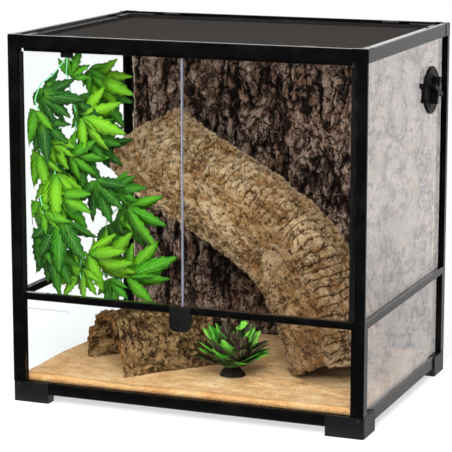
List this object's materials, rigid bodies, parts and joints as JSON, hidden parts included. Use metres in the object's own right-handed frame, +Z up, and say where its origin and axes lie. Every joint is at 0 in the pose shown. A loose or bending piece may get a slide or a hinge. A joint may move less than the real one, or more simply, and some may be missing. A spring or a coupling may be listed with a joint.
{
  "type": "reptile terrarium",
  "caption": "Framed glass reptile tank with swinging front doors, key lock, lift-off screen top, side vent, and furnished inside with bark wall, sand, cork log, hide and plants.",
  "frame": {"origin": "centre of the tank frame at the underside of its feet; the lock in front and the vent knob on the right stand a few millimetres outside the frame, within the frame check’s allowance", "axes": "+Z up, doors face -Y, the vent is on the +X side"},
  "size_m": [0.6183, 0.4653, 0.61],
  "materials": {
    "frame_plastic": "satin black extruded plastic",
    "foot_plastic": "moulded black plastic, fine grain",
    "pane_glass": "clear float glass",
    "hinge_strip_plastic": "dark grey extruded plastic",
    "seal_clear": "milky clear soft plastic",
    "lock_plastic": "moulded black plastic",
    "steel": "zinc-plated steel",
    "clip_plastic": "moulded black plastic",
    "screen_bar": "black powder-coated aluminium bar",
    "screen_wire": "dark coated fine steel mesh",
    "vent_plastic": "moulded black plastic",
    "pan_plastic": "black plastic tray",
    "bark_foam": "rigid foam with a bark relief, dark brown",
    "sand": "dry fine sand",
    "cork_log": "rough cork bark",
    "cork_hide": "rough cork bark, darker, orange where cut",
    "vine_leaf": "soft moulded leaves, bright and dark green",
    "plant_leaf": "soft moulded leaves, green tips on purple-brown"
  },
  "bodies": {
    "tank": {"foot_front_left": "foot_plastic", "foot_front_right": "foot_plastic", "foot_rear_left": "foot_plastic", "foot_rear_right": "foot_plastic", "bottom_rail_front": "frame_plastic", "bottom_rail_rear": "frame_plastic", "bottom_rail_left": "frame_plastic", "bottom_rail_right": "frame_plastic", "lower_post_front_left": "frame_plastic", "lower_post_front_right": "frame_plastic", "lower_post_rear_left": "frame_plastic", "lower_post_rear_right": "frame_plastic", "mid_rail_front": "frame_plastic", "mid_rail_rear": "frame_plastic", "mid_rail_left": "frame_plastic", "mid_rail_right": "frame_plastic", "upper_post_front_left": "frame_plastic", "upper_post_front_right": "frame_plastic", "upper_post_rear_left": "frame_plastic", "upper_post_rear_right": "frame_plastic", "top_rail_front": "frame_plastic", "top_rail_rear": "frame_plastic", "top_rail_left": "frame_plastic", "top_rail_right": "frame_plastic", "top_corner_caps": "frame_plastic", "frame_screws": "steel", "base_pan": "pan_plastic", "lower_pane_front": "pane_glass", "lower_pane_rear": "pane_glass", "lower_pane_left": "pane_glass", "lower_pane_right": "pane_glass", "upper_pane_rear": "pane_glass", "upper_pane_left": "pane_glass", "upper_pane_right": "pane_glass", "latch_housing": "lock_plastic", "vent_flange": "vent_plastic", "vent_ring_nut": "vent_plastic", "background_panel": "bark_foam", "sand_bed": "sand", "cork_log": "cork_log", "cork_hide": "cork_hide", "hanging_vine": "vine_leaf", "small_plant": "plant_leaf"},
    "door_left": {"door_glass_left": "pane_glass", "door_hinge_strip_left": "hinge_strip_plastic", "door_edge_seal": "seal_clear"},
    "door_right": {"door_glass_right": "pane_glass", "door_hinge_strip_right": "hinge_strip_plastic"},
    "lock": {"lock_cylinder": "lock_plastic"},
    "bolt": {"lock_bolt": "steel"},
    "lid": {"screen_frame": "screen_bar", "screen_corners": "clip_plastic", "screen_mesh": "screen_wire"},
    "latch_front_left": {"screen_latch_front_left": "clip_plastic"},
    "latch_front_right": {"screen_latch_front_right": "clip_plastic"},
    "latch_rear_left": {"screen_latch_rear_left": "clip_plastic"},
    "latch_rear_right": {"screen_latch_rear_right": "clip_plastic"},
    "vent_shutter": {"vent_cap": "vent_plastic"}
  },
  "joints": [
    {"name": "door_left_swing", "type": "hinge", "parent": "tank", "child": "door_left", "pos_m": [-0.2816, -0.2252, 0.384], "axis": [0, 0, -1], "range_deg": [0, 105]},
    {"name": "door_right_swing", "type": "hinge", "parent": "tank", "child": "door_right", "pos_m": [0.2816, -0.2252, 0.384], "axis": [0, 0, 1], "range_deg": [0, 105]},
    {"name": "lock_turn", "type": "hinge", "parent": "tank", "child": "lock", "pos_m": [-0.008, -0.232, 0.165], "axis": [0, -1, 0], "range_deg": [0, 90]},
    {"name": "bolt_rise", "type": "slide", "parent": "tank", "child": "bolt", "axis": [0, 0, 1], "range_m": [0, 0.007]},
    {"name": "lid_lift", "type": "slide", "parent": "tank", "child": "lid", "axis": [0, 0, 1], "range_m": [0, 0.1]},
    {"name": "latch_front_left_slide", "type": "slide", "parent": "lid", "child": "latch_front_left", "axis": [0, -1, 0], "range_m": [0, 0.005]},
    {"name": "latch_front_right_slide", "type": "slide", "parent": "lid", "child": "latch_front_right", "axis": [0, -1, 0], "range_m": [0, 0.005]},
    {"name": "latch_rear_left_slide", "type": "slide", "parent": "lid", "child": "latch_rear_left", "axis": [0, 1, 0], "range_m": [0, 0.005]},
    {"name": "latch_rear_right_slide", "type": "slide", "parent": "lid", "child": "latch_rear_right", "axis": [0, 1, 0], "range_m": [0, 0.005]},
    {"name": "vent_turn", "type": "hinge", "parent": "tank", "child": "vent_shutter", "pos_m": [0.3, 0.137, 0.504], "axis": [1, 0, 0], "range_deg": [0, 45]}
  ],
  "couplings": [
    {"joint": "lock_turn", "follows": "bolt_rise", "rad_per_m": 224.4}
  ]
}
